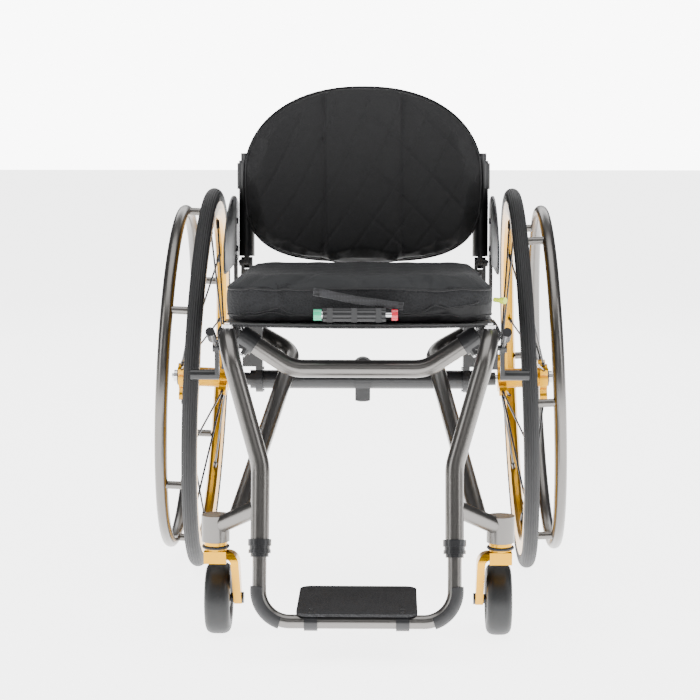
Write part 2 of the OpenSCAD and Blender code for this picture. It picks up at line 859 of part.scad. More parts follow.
side_frame(1);  // side_frame_left
side_frame(-1);  // side_frame_right
rail_caps();
cross_tube();
cross_tube_clamps();
axle_tube();
axle_clamps();
axle_tube_bracket();
axle_sleeves();
seat_sling();
frame_bolts();
rail_studs();
side_guard(1);  // side_guard_left
side_guard(-1);  // side_guard_right
back_hinges();
leg_collars();
caster_bearings();
axle_pins();
lock_mounts();
seat_cushion();
valve_body();
inflation_valve();
footrest_tube();
footrest_bumpers();
footplate();
footplate_clamps();
back_canes();
back_bar();
back_shell();
back_pad();
back_brackets();
tyre(1);  // tyre_left
tyre(-1);  // tyre_right
rim(1);  // rim_left
rim(-1);  // rim_right
spokes(1);  // spokes_left
spokes(-1);  // spokes_right
hub(1);  // hub_left
hub(-1);  // hub_right
handrim(1);  // handrim_left
handrim(-1);  // handrim_right
caster_stem(1);  // caster_stem_left
caster_stem(-1);  // caster_stem_right
caster_seal(1);  // caster_seal_left
caster_seal(-1);  // caster_seal_right
caster_fork(1);  // caster_fork_left
caster_fork(-1);  // caster_fork_right
caster_axle(1);  // caster_axle_left
caster_axle(-1);  // caster_axle_right
caster_tyre(1);  // caster_tyre_left
caster_tyre(-1);  // caster_tyre_right
caster_hub(1);  // caster_hub_left
caster_hub(-1);  // caster_hub_right
lock_lever(1);  // lock_lever_left
lock_lever(-1);  // lock_lever_right
axle_button(1);  // axle_button_left
axle_button(-1);  // axle_button_right
valve_rod();
valve_knob_green();
valve_knob_red();
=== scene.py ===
# Looks for the rigid-frame manual wheelchair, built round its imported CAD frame.
import json
import math

import bmesh
import bpy
from mathutils import Matrix, Vector


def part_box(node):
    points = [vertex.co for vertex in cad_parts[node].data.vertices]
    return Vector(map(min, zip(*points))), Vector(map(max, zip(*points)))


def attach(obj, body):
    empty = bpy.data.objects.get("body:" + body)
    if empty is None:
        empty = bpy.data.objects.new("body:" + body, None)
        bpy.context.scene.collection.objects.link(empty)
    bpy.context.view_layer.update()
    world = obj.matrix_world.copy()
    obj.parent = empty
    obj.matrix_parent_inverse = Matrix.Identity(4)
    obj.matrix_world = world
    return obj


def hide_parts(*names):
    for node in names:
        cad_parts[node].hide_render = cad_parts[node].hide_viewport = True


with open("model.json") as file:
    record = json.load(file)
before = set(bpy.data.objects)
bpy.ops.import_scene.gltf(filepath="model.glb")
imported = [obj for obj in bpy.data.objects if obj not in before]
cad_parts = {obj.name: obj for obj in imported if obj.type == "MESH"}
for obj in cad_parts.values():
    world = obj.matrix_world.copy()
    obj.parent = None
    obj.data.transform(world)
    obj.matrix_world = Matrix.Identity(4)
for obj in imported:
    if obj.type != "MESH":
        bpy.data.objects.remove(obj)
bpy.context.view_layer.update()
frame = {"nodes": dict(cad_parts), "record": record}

NODES = frame["nodes"]

# Sizes that the CAD's boxes don't give directly
AXLE_Y = (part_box("tyre_left")[0][1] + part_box("tyre_left")[1][1]) / 2
CAMBER = math.radians(2.4)
TRACK = 0.2505
WHEEL_R = 0.3045
TYRE_R = 0.0117
HUB_Z = (WHEEL_R - TYRE_R) * math.cos(CAMBER) + TYRE_R
RAIL_X = 0.183
SHELL_AXIS_Y = -0.445


# ---- materials ----

class Mat:
    """A node material under construction, with short helpers for procedural layers."""

    def __init__(self, name, color, rough=0.5, metal=0.0, **socket):
        self.m = bpy.data.materials.new(name)
        self.m.use_nodes = True
        self.t = self.m.node_tree
        self.b = self.t.nodes["Principled BSDF"]
        self.b.inputs["Base Color"].default_value = (*color, 1)
        self.b.inputs["Roughness"].default_value = rough
        self.b.inputs["Metallic"].default_value = metal
        for key, value in socket.items():
            self.b.inputs[key.replace("_", " ")].default_value = value
        self.height = None

    def node(self, kind, **props):
        n = self.t.nodes.new(kind)
        for k, v in props.items():
            setattr(n, k, v)
        return n

    def link(self, a, b):
        self.t.links.new(a, b)

    def coords(self, scale=(1, 1, 1), rot=(0, 0, 0)):
        c = self.node("ShaderNodeTexCoord")
        m = self.node("ShaderNodeMapping")
        m.inputs["Scale"].default_value = scale
        m.inputs["Rotation"].default_value = rot
        self.link(c.outputs["Object"], m.inputs["Vector"])
        return m.outputs["Vector"]

    def noise(self, scale, detail=4, rough=0.55, vec=None):
        n = self.node("ShaderNodeTexNoise")
        n.inputs["Scale"].default_value = scale
        n.inputs["Detail"].default_value = detail
        n.inputs["Roughness"].default_value = rough
        self.link(vec if vec is not None else self.coords(), n.inputs["Vector"])
        return n.outputs["Fac"]

    def voronoi(self, scale, vec=None, feature="F1", out="Distance"):
        n = self.node("ShaderNodeTexVoronoi", feature=feature)
        n.inputs["Scale"].default_value = scale
        self.link(vec if vec is not None else self.coords(), n.inputs["Vector"])
        return n.outputs[out]

    def wave(self, scale, vec, direction="X", distortion=0.0, profile="SIN"):
        n = self.node("ShaderNodeTexWave", wave_type="BANDS", bands_direction=direction, wave_profile=profile)
        n.inputs["Scale"].default_value = scale
        n.inputs["Distortion"].default_value = distortion
        self.link(vec, n.inputs["Vector"])
        return n.outputs["Fac"]

    def math(self, op, a, b=0.5, clamp=False):
        n = self.node("ShaderNodeMath", operation=op, use_clamp=clamp)
        for i, v in enumerate((a, b)):
            if isinstance(v, (int, float)):
                n.inputs[i].default_value = v
            else:
                self.link(v, n.inputs[i])
        return n.outputs[0]

    def ramp(self, fac, stops):
        n = self.node("ShaderNodeValToRGB")
        e = n.color_ramp.elements
        while len(e) < len(stops):
            e.new(0.5)
        for el, (p, c) in zip(e, stops):
            el.position = p
            el.color = (*c, 1) if len(c) == 3 else c
        self.link(fac, n.inputs["Fac"])
        return n.outputs["Color"]

    def color(self, fac, stops):
        self.link(self.ramp(fac, stops), self.b.inputs["Base Color"])
        return self

    def rough(self, fac, lo, hi):
        n = self.node("ShaderNodeMapRange")
        n.inputs["To Min"].default_value = lo
        n.inputs["To Max"].default_value = hi
        self.link(fac, n.inputs["Value"])
        self.link(n.outputs["Result"], self.b.inputs["Roughness"])
        return self

    def bump(self, fac, depth, strength=1.0):
        n = self.node("ShaderNodeBump")
        n.inputs["Distance"].default_value = depth
        n.inputs["Strength"].default_value = strength
        self.link(fac, n.inputs["Height"])
        last = self.b.inputs["Normal"]
        if last.is_linked:
            self.link(last.links[0].from_socket, n.inputs["Normal"])
        self.link(n.outputs["Normal"], last)
        return self


def shade(c, k):
    return tuple(min(1.0, v * k) for v in c)


def metal(name, color, rough, grain, depth=0.00004, aniso=0.0, coat=0.0):
    """Satin metal: fine cloudy grain in colour and roughness with a faint surface ripple."""
    m = Mat(name, color, rough, 1.0, Anisotropic=aniso, Coat_Weight=coat)
    fine = m.noise(grain, 6, 0.7)
    cloud = m.noise(grain / 25, 3)
    m.color(m.math("ADD", m.math("MULTIPLY", fine, 0.5), m.math("MULTIPLY", cloud, 0.5)),
            [(0.3, shade(color, 0.9)), (0.7, shade(color, 1.08))])
    m.rough(fine, rough * 0.78, rough * 1.3)
    m.bump(m.noise(grain * 2, 3), depth)
    return m.m


def plastic(name, color, rough, grain=900, depth=0.00006, sheen=0.0, coat=0.0):
    """Moulded or painted surface with a fine orange peel and slightly worn gloss."""
    m = Mat(name, color, rough, 0.0, Sheen_Weight=sheen, Coat_Weight=coat)
    wear = m.noise(grain / 40, 4)
    m.color(wear, [(0.3, shade(color, 0.8)), (0.75, shade(color, 1.35))])
    m.rough(m.noise(grain / 12, 5), rough * 0.8, rough * 1.2)
    m.bump(m.noise(grain, 2), depth)
    return m.m


def titanium_mat():
    """Brushed titanium: low-contrast grain along the tube, calm satin highlight."""
    m = Mat("titanium", (0.16, 0.153, 0.146), 0.3, 1.0)
    streak = m.noise(90, 5, 0.6, m.coords((1, 1, 10)))
    cloud = m.noise(7, 3)
    m.color(m.math("ADD", m.math("MULTIPLY", streak, 0.4), m.math("MULTIPLY", cloud, 0.6)),
            [(0.3, (0.148, 0.142, 0.135)), (0.7, (0.176, 0.168, 0.16))])
    m.rough(streak, 0.27, 0.33)
    m.bump(m.noise(900, 2, 0.5, m.coords((1, 1, 6))), 0.000006)
    return m.m


def tyre_mat():
    m = Mat("tyre_rubber", (0.03, 0.031, 0.033), 0.62)
    dirt = m.noise(35, 6, 0.65)
    m.color(dirt, [(0.3, (0.003, 0.003, 0.0035)), (0.72, (0.007, 0.0073, 0.008))])
    m.rough(dirt, 0.5, 0.75)
    m.bump(m.noise(1400, 3), 0.00012)
    return m.m


def grit_mat():
    m = Mat("footplate_grit", (0.02, 0.02, 0.022), 0.8)
    grains = m.voronoi(900)
    m.color(m.voronoi(700, out="Color"), [(0.3, (0.005, 0.005, 0.006)), (0.8, (0.03, 0.03, 0.033))])
    m.bump(grains, 0.0006, 0.8)
    m.bump(m.noise(250, 4), 0.0002)
    return m.m


def webbing_mat(name, color, pitch=0.0016):
    """Woven tape: a basket of fine ribs."""
    m = Mat(name, color, 0.72, Sheen_Weight=0.25)
    v = m.coords()
    a = m.wave(0.16 / pitch, v, "X")
    b = m.wave(0.12 / pitch, v, "Z")
    c = m.wave(0.12 / pitch, v, "Y")
    weave = m.math("ADD", m.math("MULTIPLY", a, b), m.math("MULTIPLY", c, 0.6))
    m.color(weave, [(0.1, shade(color, 0.5)), (0.9, shade(color, 1.6))])
    m.bump(weave, 0.0003)
    return m.m


def mesh_fabric(name, dark, light, pitch, depth, sheen=0.3):
    """Warp-knit spacer mesh: offset rows of small holes between soft ribs."""
    m = Mat(name, dark, 0.8, Sheen_Weight=sheen, Sheen_Roughness=0.4)
    cells = m.voronoi(1 / pitch, m.coords((1, 1, 1)))
    thread = m.noise(2 / pitch, 3)
    mix = m.math("ADD", m.math("MULTIPLY", cells, 0.9), m.math("MULTIPLY", thread, 0.25))
    m.color(mix, [(0.22, dark), (0.75, light)])
    m.bump(cells, depth)
    m.bump(thread, depth * 0.4)
    return m.m


def knit_mat(name, color, sheen=0.5):
    """Stretch knit: very fine diagonal twill with a soft sheen."""
    m = Mat(name, color, 0.62, Sheen_Weight=sheen, Sheen_Roughness=0.35)
    v = m.coords((1, 1, 1), (0, 0, math.radians(45)))
    twill = m.wave(330, v, "X", 0.4)
    cross = m.wave(330, v, "Y", 0.4)
    weave = m.math("MULTIPLY", twill, cross)
    cloud = m.noise(14, 4)
    m.color(m.math("ADD", m.math("MULTIPLY", weave, 0.5), m.math("MULTIPLY", cloud, 0.5)),
            [(0.2, shade(color, 0.7)), (0.8, shade(color, 1.35))])
    m.bump(weave, 0.00015)
    return m.m


M = {
    "titanium": titanium_mat(),
    "gold": metal("gold_anodised", (0.60, 0.30, 0.003), 0.3, 500, coat=0.25),
    "black_metal": plastic("black_anodised", (0.006, 0.006, 0.007), 0.36, 1200, 0.00002, coat=0.15),
    "black_plastic": plastic("black_moulded", (0.007, 0.007, 0.008), 0.42, 900, 0.00007),
    "spoke_black": plastic("spoke_black", (0.006, 0.006, 0.007), 0.3, 1500, 0.00002, coat=0.2),
    "steel": metal("polished_steel", (0.62, 0.62, 0.63), 0.14, 700, 0.00001),
    "tyre": tyre_mat(),
    "rubber": plastic("black_rubber", (0.008, 0.008, 0.009), 0.6, 1100, 0.0001, sheen=0.1),
    "grit": grit_mat(),
    "sling_web": webbing_mat("sling_webbing", (0.006, 0.006, 0.008), 0.0022),
    "cushion_cover": knit_mat("cushion_knit", (0.003, 0.004, 0.0055), 0.04),
    "cushion_side": mesh_fabric("cushion_mesh", (0.001, 0.001, 0.0015), (0.005, 0.0055, 0.007),
                                0.0034, 0.0007, 0.02),
    "back_mesh": mesh_fabric("back_mesh", (0.0008, 0.0008, 0.0011), (0.003, 0.003, 0.0038),
                             0.0017, 0.0003, 0.01),
    "piping": knit_mat("piping", (0.003, 0.003, 0.004), 0.05),
    "green": plastic("green_knob", (0.02, 0.42, 0.22), 0.2, 800, 0.00002, coat=0.5),
    "red": plastic("red_knob", (0.5, 0.01, 0.03), 0.2, 800, 0.00002, coat=0.5),
    "lime": plastic("lime_cap", (0.5, 0.62, 0.03), 0.25, 800, 0.00002, coat=0.4),
}

for sub in frame["record"]["subparts"]:
    o = NODES[sub["node"]]
    o.data.materials.clear()
    o.data.materials.append(M[sub["material_slot"]])


def soften(o, width=0.0004, angle=35):
    """Small rounded edges that catch the light."""
    bev = o.modifiers.new("edge", "BEVEL")
    bev.width = width
    bev.segments = 2
    bev.limit_method = "ANGLE"
    bev.angle_limit = math.radians(angle)
    bev.harden_normals = False


# ---- mesh helpers ----

def mesh_object(name, verts, faces, mat, body, smooth=True):
    me = bpy.data.meshes.new(name)
    me.from_pydata([tuple(v) for v in verts], [], faces)
    me.validate()
    me.update()
    if smooth:
        for p in me.polygons:
            p.use_smooth = True
    o = bpy.data.objects.new(name, me)
    bpy.context.scene.collection.objects.link(o)
    for m in mat if isinstance(mat, list) else [mat]:
        me.materials.append(m)
    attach(o, body)
    return o


def from_bmesh(name, bm, mat, body, smooth=True):
    bmesh.ops.recalc_face_normals(bm, faces=bm.faces)
    me = bpy.data.meshes.new(name)
    bm.to_mesh(me)
    bm.free()
    if smooth:
        for p in me.polygons:
            p.use_smooth = True
    o = bpy.data.objects.new(name, me)
    bpy.context.scene.collection.objects.link(o)
    for m in mat if isinstance(mat, list) else [mat]:
        me.materials.append(m)
    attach(o, body)
    return o


def lathe(profile, axis_point, axis, segments=96, closed=True, bm=None, up=None):
    """Turns (radius, along) points about an axis through axis_point. Returns the bmesh."""
    bm = bm or bmesh.new()
    axis = Vector(axis).normalized()
    ref = Vector(up) if up else (Vector((0, 0, 1)) if abs(axis.z) < 0.9 else Vector((0, 1, 0)))
    u = (ref - axis * ref.dot(axis)).normalized()
    w = axis.cross(u)
    centre = Vector(axis_point)
    rings = []
    for k in range(segments):
        a = 2 * math.pi * k / segments
        d = u * math.cos(a) + w * math.sin(a)
        rings.append([bm.verts.new(centre + axis * x + d * r) for r, x in profile])
    n = len(profile)
    for k in range(segments):
        r0, r1 = rings[k], rings[(k + 1) % segments]
        for i in range(n if closed else n - 1):
            j = (i + 1) % n
            bm.faces.new((r0[i], r0[j], r1[j], r1[i]))
    if not closed:
        for i, flip in ((0, False), (n - 1, True)):
            if profile[i][0] > 1e-6:
                loop = [rings[k][i] for k in range(segments)]
                bm.faces.new(loop if flip else loop[::-1])
    return bm


def tube(bm, pts, r, sides=12, flat=1.0, up=(0, 0, 1), cap=True):
    """Sweeps a round or flattened section along points."""
    pts = [Vector(p) for p in pts]
    rings = []
    ref = Vector(up)
    for i, p in enumerate(pts):
        d = (pts[min(i + 1, len(pts) - 1)] - pts[max(i - 1, 0)]).normalized()
        side = d.cross(ref)
        side = side.normalized() if side.length > 1e-6 else d.orthogonal().normalized()
        top = side.cross(d).normalized()
        ref = top
        rings.append([bm.verts.new(p + side * (math.cos(2 * math.pi * k / sides) * r)
                                   + top * (math.sin(2 * math.pi * k / sides) * r * flat))
                      for k in range(sides)])
    for a, b in zip(rings, rings[1:]):
        for k in range(sides):
            j = (k + 1) % sides
            bm.faces.new((a[k], a[j], b[j], b[k]))
    if cap:
        bm.faces.new(rings[0][::-1])
        bm.faces.new(rings[-1])
    return bm


def box_size(node):
    lo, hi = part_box(node)
    return Vector(lo), Vector(hi)


def centre(node):
    lo, hi = box_size(node)
    return (lo + hi) / 2


def wheel_matrix(side):
    """Wheel plane's own frame: X outward along the cambered axle."""
    x = Vector((side * math.cos(CAMBER), 0, math.sin(CAMBER)))
    y = Vector((0, 1, 0))
    z = Vector((-side * math.sin(CAMBER), 0, math.cos(CAMBER)))
    m = Matrix((x, y, z)).transposed().to_4x4()
    m.translation = Vector((side * TRACK, AXLE_Y, HUB_Z))
    return m


def socket_screw(bm, p, axis, r, h):
    """Button-head screw with a round recess."""
    axis = Vector(axis).normalized()
    dome = [(0.0001, h * 0.55), (r * 0.52, h * 0.55), (r * 0.55, h), (r * 0.78, h * 0.9),
            (r * 0.95, h * 0.55), (r, h * 0.15), (r, 0)]
    lathe(dome, p, axis, 24, closed=False, bm=bm)


# ---- soft goods ----

def set_active(o):
    bpy.ops.object.select_all(action="DESELECT")
    o.select_set(True)
    bpy.context.view_layer.objects.active = o


def inflate(o, voxel, pressure, cap):
    """Swells a closed mesh with a short cloth simulation and caps how far each point moves."""
    set_active(o)
    rm = o.modifiers.new("voxels", "REMESH")
    rm.mode = "VOXEL"
    rm.voxel_size = voxel
    bpy.ops.object.modifier_apply(modifier=rm.name)
    rest = [v.co.copy() for v in o.data.vertices]
    cloth = o.modifiers.new("cloth", "CLOTH")
    s = cloth.settings
    s.use_pressure = True
    s.uniform_pressure_force = pressure
    s.effector_weights.gravity = 0
    s.tension_stiffness = 12
    s.compression_stiffness = 12
    s.bending_stiffness = 0.6
    s.quality = 5
    cloth.point_cache.frame_start = 1
    cloth.point_cache.frame_end = 20
    scene = bpy.context.scene
    for f in range(1, 21):
        scene.frame_set(f)
    set_active(o)
    bpy.ops.object.modifier_apply(modifier=cloth.name)
    for v, r in zip(o.data.vertices, rest):
        d = v.co - r
        if d.length > cap:
            v.co = r + d.normalized() * cap
    scene.frame_set(1)
    sub = o.modifiers.new("smooth", "SUBSURF")
    sub.levels = 1
    sub.render_levels = 1
    bpy.ops.object.modifier_apply(modifier=sub.name)
    for p in o.data.polygons:
        p.use_smooth = True


def surface_tree(o):
    """Nearest-point lookup on a finished mesh."""
    from mathutils.bvhtree import BVHTree

    bm = bmesh.new()
    bm.from_mesh(o.data)
    tree = BVHTree.FromBMesh(bm)
    bm.free()
    return tree


def snapped(tree, p, out=0.0):
    """The point on the surface nearest to p, moved out along its normal."""
    hit, normal = tree.find_nearest(Vector(p))[:2]
    return hit + normal * out


def rounded_loop(hx, y0, y1, r, step=0.01):
    """Points round a rectangle with rounded corners, anticlockwise, about a step apart."""
    pts = []
    corners = [(hx - r, y1 - r, 0), (-hx + r, y1 - r, 90), (-hx + r, y0 + r, 180), (hx - r, y0 + r, 270)]
    for cx, cy, a0 in corners:
        for k in range(9):
            a = math.radians(a0 + k * 90 / 8)
            pts.append(Vector((cx + r * math.cos(a), cy + r * math.sin(a), 0)))
    out = []
    for a, b in zip(pts, pts[1:] + pts[:1]):
        n = max(1, int((b - a).length / step))
        out += [a.lerp(b, k / n) for k in range(n)]
    return out


def smooth_step(v, lo, hi):
    t = min(1.0, max(0.0, (v - lo) / (hi - lo)))
    return t * t * (3 - 2 * t)


# ---- seat cushion ----

SEAT_TILT = math.atan2(0.015, 0.569)
seat_lo, seat_hi = box_size("seat_cushion")
SEAT_W = seat_hi.x
SEAT_T = 0.058
SEAT_L = 0.406
seat_frame = (Matrix.Translation(Vector((0, seat_lo.y, seat_hi.z - SEAT_T * math.cos(SEAT_TILT))))
              @ Matrix.Rotation(-SEAT_TILT, 4, "X"))


def seat_point(x, y, z):
    return seat_frame @ Vector((x, y, z))


def make_cushion():
    inset = 0.008
    bm = bmesh.new()
    outline = rounded_loop(SEAT_W - inset, inset, SEAT_L - inset, 0.042, 0.02)
    rings = []
    for z, pull in ((0.0015, 0.006), (0.008, 0.0), (SEAT_T - 0.014, 0.0), (SEAT_T - 0.006, 0.005)):
        mid = Vector((0, SEAT_L / 2, 0))
        ring = []
        for p in outline:
            q = p + (mid - p).normalized() * pull
            ring.append(bm.verts.new(seat_point(q.x, q.y, z)))
        rings.append(ring)
    n = len(outline)
    for a, b in zip(rings, rings[1:]):
        for k in range(n):
            j = (k + 1) % n
            bm.faces.new((a[k], a[j], b[j], b[k]))
    bm.faces.new(rings[0][::-1])
    bm.faces.new(rings[-1])
    covers = [M["cushion_cover"], M["cushion_side"], M["piping"]]
    o = from_bmesh("cushion", bm, covers, "frame")
    inflate(o, 0.005, 4.0, 0.014)
    inv = seat_frame.inverted()
    for v in o.data.vertices:
        p = inv @ v.co
        cell = 0.5 + 0.5 * math.cos(p.x * 2 * math.pi / 0.068) * math.cos(p.y * 2 * math.pi / 0.068)
        inside = smooth_step(min(SEAT_W - abs(p.x), p.y, SEAT_L - p.y), 0.01, 0.06)
        if p.z > SEAT_T * 0.6:
            p.z += 0.0022 * cell * inside
            p.z -= 0.0035 * smooth_step(p.y, SEAT_L * 0.55, SEAT_L)
        wrinkle = math.sin(p.x * 190 + 3 * math.sin(p.z * 120)) * math.sin(p.z * 150 + p.x * 37)
        if p.z < SEAT_T * 0.85 and p.y < 0.02:
            p.y -= 0.0007 * wrinkle
        corner = smooth_step(abs(p.x), SEAT_W - 0.05, SEAT_W) * smooth_step(-p.y, -0.05, 0)
        p.z += 0.002 * corner * math.sin(p.x * 210 + p.z * 90)
        p.z = max(p.z, 0.0004)
        p.x = max(-SEAT_W + 0.0005, min(SEAT_W - 0.0005, p.x))
        p.y = min(p.y, SEAT_L + 0.001)
        v.co = seat_frame @ p
    for f in o.data.polygons:
        c = inv @ f.center
        n = (inv.to_3x3() @ f.normal)
        hem = 0.010 + 0.016 * smooth_step(c.x, 0.04, 0.19)
        if n.z > 0.5 or c.z > SEAT_T - 0.004:
            f.material_index = 0
        elif c.z < hem:
            f.material_index = 2
        else:
            f.material_index = 1
    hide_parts("seat_cushion")
    tree = surface_tree(o)
    bm = bmesh.new()
    for z, r in ((SEAT_T - 0.003, 0.0017), (0.005, 0.0015)):
        loop = [snapped(tree, seat_point(p.x, p.y, z), 0.0002)
                for p in rounded_loop(SEAT_W, 0, SEAT_L, 0.045, 0.008)]
        smoothed = [(loop[i - 1] + loop[i] * 2 + loop[(i + 1) % len(loop)]) / 4 for i in range(len(loop))]
        tube(bm, smoothed + smoothed[:2], r, 8, cap=False)
    from_bmesh("cushion_piping", bm, M["piping"], "frame")
    bm = bmesh.new()
    hem_line = []
    for k in range(40):
        x = -SEAT_W + 0.02 + k * (2 * SEAT_W - 0.04) / 39
        z = 0.010 + 0.016 * smooth_step(x, 0.04, 0.19)
        hem_line.append(snapped(tree, seat_point(x, -0.004, z), 0.0004))
    tube(bm, hem_line, 0.0013, 8)
    from_bmesh("cushion_hem", bm, M["piping"], "frame")


make_cushion()


def strap_band(name, pts, half, thick, mat, body, up=(0, 0, 1)):
    """Flat webbing band with its width along up and rounded edges."""
    bm = bmesh.new()
    tube(bm, pts, thick, 16, flat=half / thick, up=up)
    return from_bmesh(name, bm, mat, body)


def smooth_path(pts, n=30):
    """Catmull-Rom curve through pts."""
    pts = [Vector(p) for p in pts]
    ext = [pts[0] * 2 - pts[1]] + pts + [pts[-1] * 2 - pts[-2]]
    out = []
    segs = len(pts) - 1
    for i in range(n + 1):
        f = i / n * segs
        k = min(int(f), segs - 1)
        t = f - k
        a, b, c, d = ext[k:k + 4]
        out.append(0.5 * ((2 * b) + (c - a) * t + (2 * a - 5 * b + 4 * c - d) * t * t
                          + (3 * b - a - 3 * c + d) * t ** 3))
    return out


front_y = seat_lo.y
strap_pts = smooth_path([(-0.063, front_y + 0.000, 0.486), (-0.045, front_y - 0.006, 0.4835),
                         (-0.01, front_y - 0.009, 0.4765), (0.025, front_y - 0.0085, 0.4715),
                         (0.048, front_y - 0.006, 0.468), (0.062, front_y - 0.001, 0.4655)])
strap_band("cushion_handle", strap_pts, 0.0055, 0.0012, M["sling_web"], "frame")
bm = bmesh.new()
for x, z in ((-0.060, 0.4855), (0.060, 0.466)):
    for dz in (-0.003, 0.003):
        y = front_y - 0.0052
        tube(bm, [(x - 0.005, y, z + dz), (x + 0.005, y, z + dz - 0.001)], 0.0006, 6)
from_bmesh("handle_stitches", bm, M["piping"], "frame")


# ---- seat sling ----

def make_sling():
    """Webbing seat that wraps over both rails and dips a little between them."""
    rail_r = 0.0132
    length = SEAT_L + 0.062
    left = [(-RAIL_X - rail_r * math.cos(math.radians(t)), rail_r * math.sin(math.radians(t)))
            for t in range(-40, 91, 10)]
    middle = []
    for k in range(1, 40):
        t = k / 40
        x = -RAIL_X + t * 2 * RAIL_X
        middle.append((x, rail_r - 0.0028 * math.sin(math.pi * t)))
    right = [(-x, z) for x, z in reversed(left)]
    section = left + middle + right
    verts, faces = [], []
    rows = 60
    for j in range(rows + 1):
        y = -0.003 + j * length / rows
        for x, z in section:
            verts.append(seat_point(x, y, z - rail_r - 0.0022))
    w = len(section)
    for j in range(rows):
        for i in range(w - 1):
            a = j * w + i
            faces.append((a, a + 1, a + w + 1, a + w))
    o = mesh_object("sling", verts, faces, M["sling_web"], "frame")
    solid = o.modifiers.new("thick", "SOLIDIFY")
    solid.thickness = 0.0018
    solid.offset = 0
    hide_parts("seat_sling")
    bm = bmesh.new()
    for y in (0.012, 0.15, 0.29, 0.42):
        for dy in (-0.018, 0.018):
            tube(bm, [seat_point(x, y + dy, z - rail_r - 0.0034) for x, z in section[6:-6]], 0.0006, 6)
    from_bmesh("sling_stitches", bm, M["piping"], "frame")
    return o


make_sling()


# ---- back pad ----

LEAN = math.radians(3)
HINGE = Vector((0, AXLE_Y + 0.062, 0.484))
back_frame = Matrix.Translation(HINGE) @ Matrix.Rotation(-LEAN, 4, "X")
back_inv = back_frame.inverted()
PAD_W, PAD_MID, PAD_TOP, PAD_FOOT = 0.198, 0.136, 0.156, 0.140


def pad_outline(a, inset=0.0):
    """Point on the back's front outline at angle a, in the back's own frame."""
    s, c = math.sin(a), math.cos(a)
    power = 2.2 if s >= 0 else 3.2
    h = PAD_TOP if s >= 0 else PAD_FOOT
    return ((PAD_W - inset) * math.copysign(abs(c) ** (2 / power), c),
            PAD_MID + (h - inset) * math.copysign(abs(s) ** (2 / power), s))


def edge_distance(x, z):
    """Rough distance from (x, z) to the outline, positive inside."""
    dz = z - PAD_MID
    power = 2.2 if dz >= 0 else 3.2
    h = PAD_TOP if dz >= 0 else PAD_FOOT
    f = (abs(x) / PAD_W) ** power + (abs(dz) / h) ** power
    return (1 - f ** (1 / power)) * min(PAD_W, h)


def quilt(x, z):
    """Depth factor of the sewn lines: bowed diagonals with a few crossing ones."""
    dz = z - PAD_MID
    a = math.radians(31)
    u = x * math.cos(a) - dz * math.sin(a) + 0.9 * (dz + 0.03) ** 2
    d1 = abs((u / 0.043 + 0.37) % 1.0 - 0.5) * 0.043
    b = math.radians(-42)
    w = x * math.sin(b) * -1 + dz * math.cos(b) + 0.5 * x * x
    d2 = abs((w / 0.060 + 0.1) % 1.0 - 0.5) * 0.060
    cross = smooth_step(x, -0.02, 0.03)
    return max(math.exp(-(d1 / 0.0019) ** 2), cross * math.exp(-(d2 / 0.0017) ** 2))


def make_back_pad():
    src = NODES["back_pad"]
    me = src.data.copy()
    o = bpy.data.objects.new("backrest_pad", me)
    bpy.context.scene.collection.objects.link(o)
    me.transform(src.matrix_world)
    me.materials.clear()
    me.materials.append(M["back_mesh"])
    me.materials.append(M["piping"])
    centre_p = back_inv @ centre("back_pad")
    for v in me.vertices:
        p = back_inv @ v.co
        p.x *= 0.985
        p.z = PAD_MID + (p.z - PAD_MID) * 0.985
        p.y += 0.004 if p.y < centre_p.y else -0.0035
        v.co = back_frame @ p
    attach(o, "backrest")
    inflate(o, 0.005, 3.5, 0.010)
    shell_r = 0.4375
    for v, n in zip(o.data.vertices, [v.normal.copy() for v in o.data.vertices]):
        p = back_inv @ v.co
        facing = (back_inv.to_3x3() @ n).y
        e = edge_distance(p.x, p.z)
        if facing < -0.2:
            window = smooth_step(e, 0.012, 0.034)
            bolster = math.exp(-((abs(p.x) - 0.158) / 0.022) ** 2) * smooth_step(e, 0.004, 0.03)
            p.y -= 0.004 * bolster
            p.y += 0.0017 * quilt(p.x, p.z) * window
            p.y += 0.0008 * math.sin(p.x * 61 + p.z * 23) * math.sin(p.z * 47) * window
        radial = math.hypot(p.x, p.y - SHELL_AXIS_Y)
        if radial > shell_r - 0.0004 and e > 0.012:
            k = (shell_r - 0.0004) / radial
            p.x *= k
            p.y = SHELL_AXIS_Y + (p.y - SHELL_AXIS_Y) * k
        v.co = back_frame @ p
    for f in o.data.polygons:
        if (back_inv.to_3x3() @ f.normal).y > 0.5:
            f.material_index = 1
    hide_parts("back_pad")
    tree = surface_tree(o)
    bm = bmesh.new()
    loop = []
    for k in range(180):
        x, z = pad_outline(2 * math.pi * k / 180)
        y = SHELL_AXIS_Y + math.sqrt(max(0.0, 0.434 ** 2 - x * x)) - 0.004
        loop.append(snapped(tree, back_frame @ Vector((x, y, z)), 0.0004))
    smoothed = [(loop[i - 1] + loop[i] * 2 + loop[(i + 1) % len(loop)]) / 4 for i in range(len(loop))]
    tube(bm, smoothed + smoothed[:2], 0.0018, 8, cap=False)
    from_bmesh("backrest_piping", bm, M["piping"], "backrest")
    return o


make_back_pad()


# ---- drive tyres with ribbed tread ----

